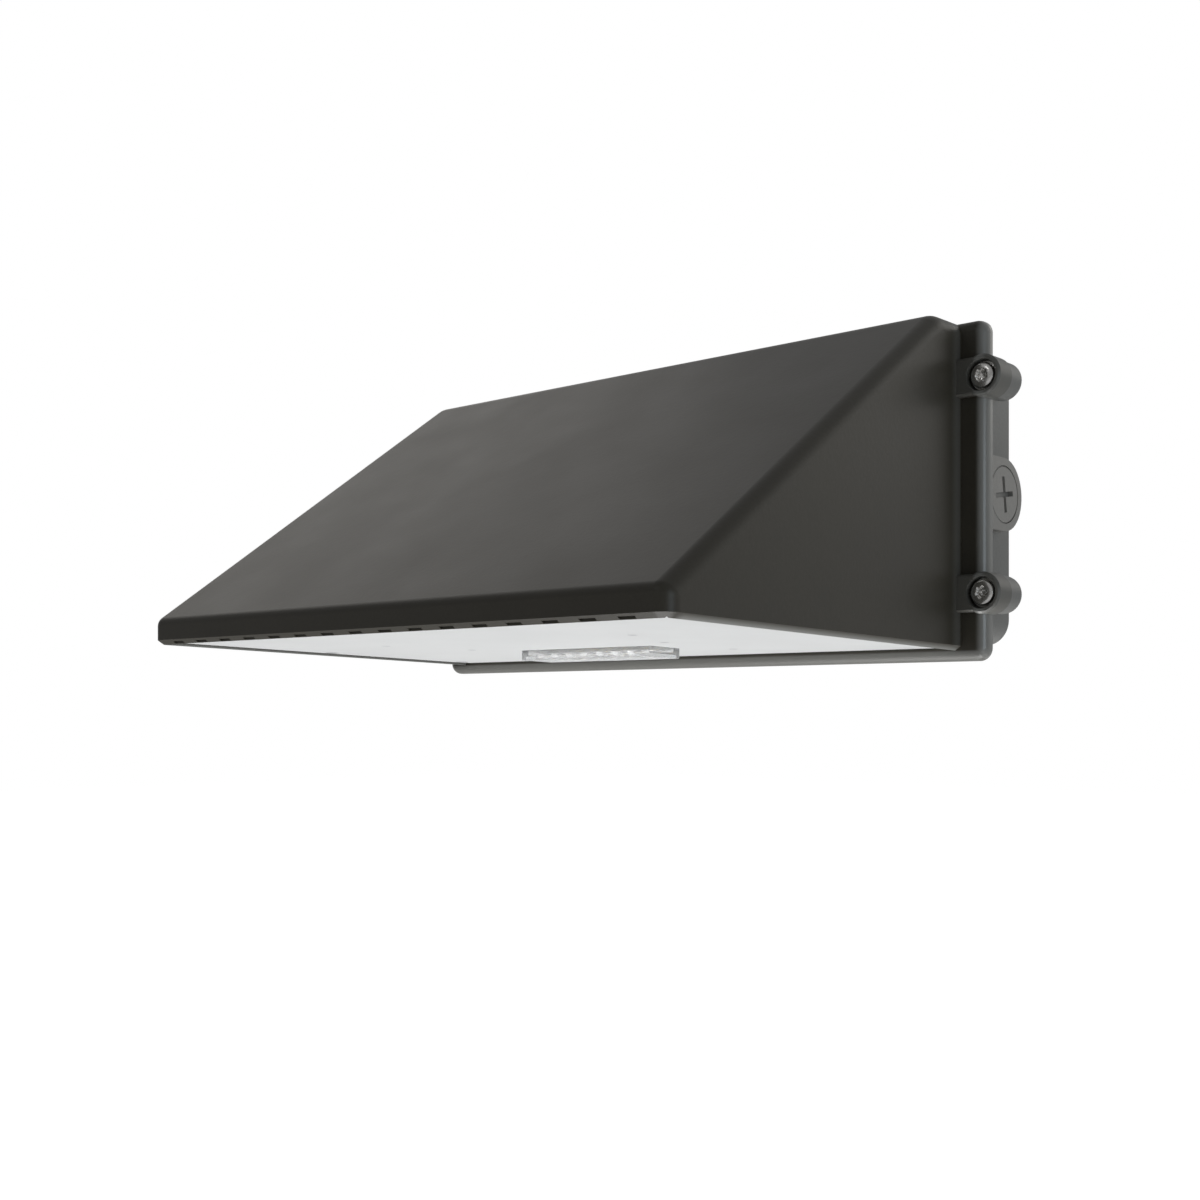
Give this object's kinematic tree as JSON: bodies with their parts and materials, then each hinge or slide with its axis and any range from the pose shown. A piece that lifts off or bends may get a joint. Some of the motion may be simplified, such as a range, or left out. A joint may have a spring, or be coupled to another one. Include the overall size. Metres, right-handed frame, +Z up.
{
  "type": "wall pack light",
  "caption": "Full cutoff outdoor wall light: a cast wedge housing on a shallow wall box, shining down through a white tray with a clear moulded optic.",
  "frame": {"origin": "middle of the wall box's flat wall face", "axes": "+Z up, -Y out of the wall towards the lip, +X to the viewer's right when facing the wall"},
  "size_m": [0.317, 0.2104, 0.1313],
  "materials": {
    "bronze_paint": "satin dark bronze powder coat",
    "white_paint": "satin white powder coat",
    "stainless": "satin",
    "zinc": "zinc plated",
    "black_rubber": "matt",
    "grey_silicone": "matt",
    "clear_optic": "clear moulded",
    "board_white": "white solder mask",
    "phosphor": "yellow phosphor",
    "mill_aluminium": "mill finish",
    "driver_aluminium": "brushed extrusion",
    "black_plastic": "fine texture",
    "grey_plastic": "moulded",
    "brass": "turned",
    "green_zinc": "green plated",
    "red_wire": "wire insulation",
    "black_wire": "wire insulation",
    "white_wire": "wire insulation"
  },
  "bodies": {
    "root": {"back_box": "bronze_paint", "wire_entry_grommet": "black_rubber", "ground_screw": "green_zinc", "terminal_block": "grey_plastic", "terminal_screws": "brass"},
    "front": {"front_housing": "bronze_paint", "housing_gasket": "black_rubber", "cover_screws": "stainless", "screw_washers": "stainless", "light_tray": "white_paint", "tray_gasket": "grey_silicone", "tray_screws": "zinc", "led_optic": "clear_optic", "optic_seal": "grey_silicone", "led_board": "board_white", "led_chips": "phosphor", "thermal_pad": "grey_silicone", "heat_spreader": "mill_aluminium", "spreader_spacers": "zinc", "spreader_screws": "zinc", "lead_grommet": "black_rubber", "driver_case": "driver_aluminium", "driver_end_caps": "black_plastic", "driver_screws": "zinc", "supply_connector": "black_plastic", "positive_lead": "red_wire", "negative_lead": "black_wire", "live_lead": "black_wire", "neutral_lead": "white_wire"},
    "right_plug": {"right_conduit_plug": "bronze_paint", "right_plug_seal": "black_rubber"},
    "left_plug": {"left_conduit_plug": "bronze_paint", "left_plug_seal": "black_rubber"}
  },
  "joints": [
    {"name": "front_lift_off", "type": "slide", "parent": "root", "child": "front", "axis": [0, -1, 0], "range_m": [0, 0.12]},
    {"name": "right_plug_turn", "type": "hinge", "parent": "root", "child": "right_plug", "pos_m": [0.1492, -0.0144, 0.0042], "axis": [1, 0, 0], "continuous": true},
    {"name": "left_plug_turn", "type": "hinge", "parent": "root", "child": "left_plug", "pos_m": [-0.1492, -0.0144, 0.0042], "axis": [-1, 0, 0], "continuous": true}
  ]
}
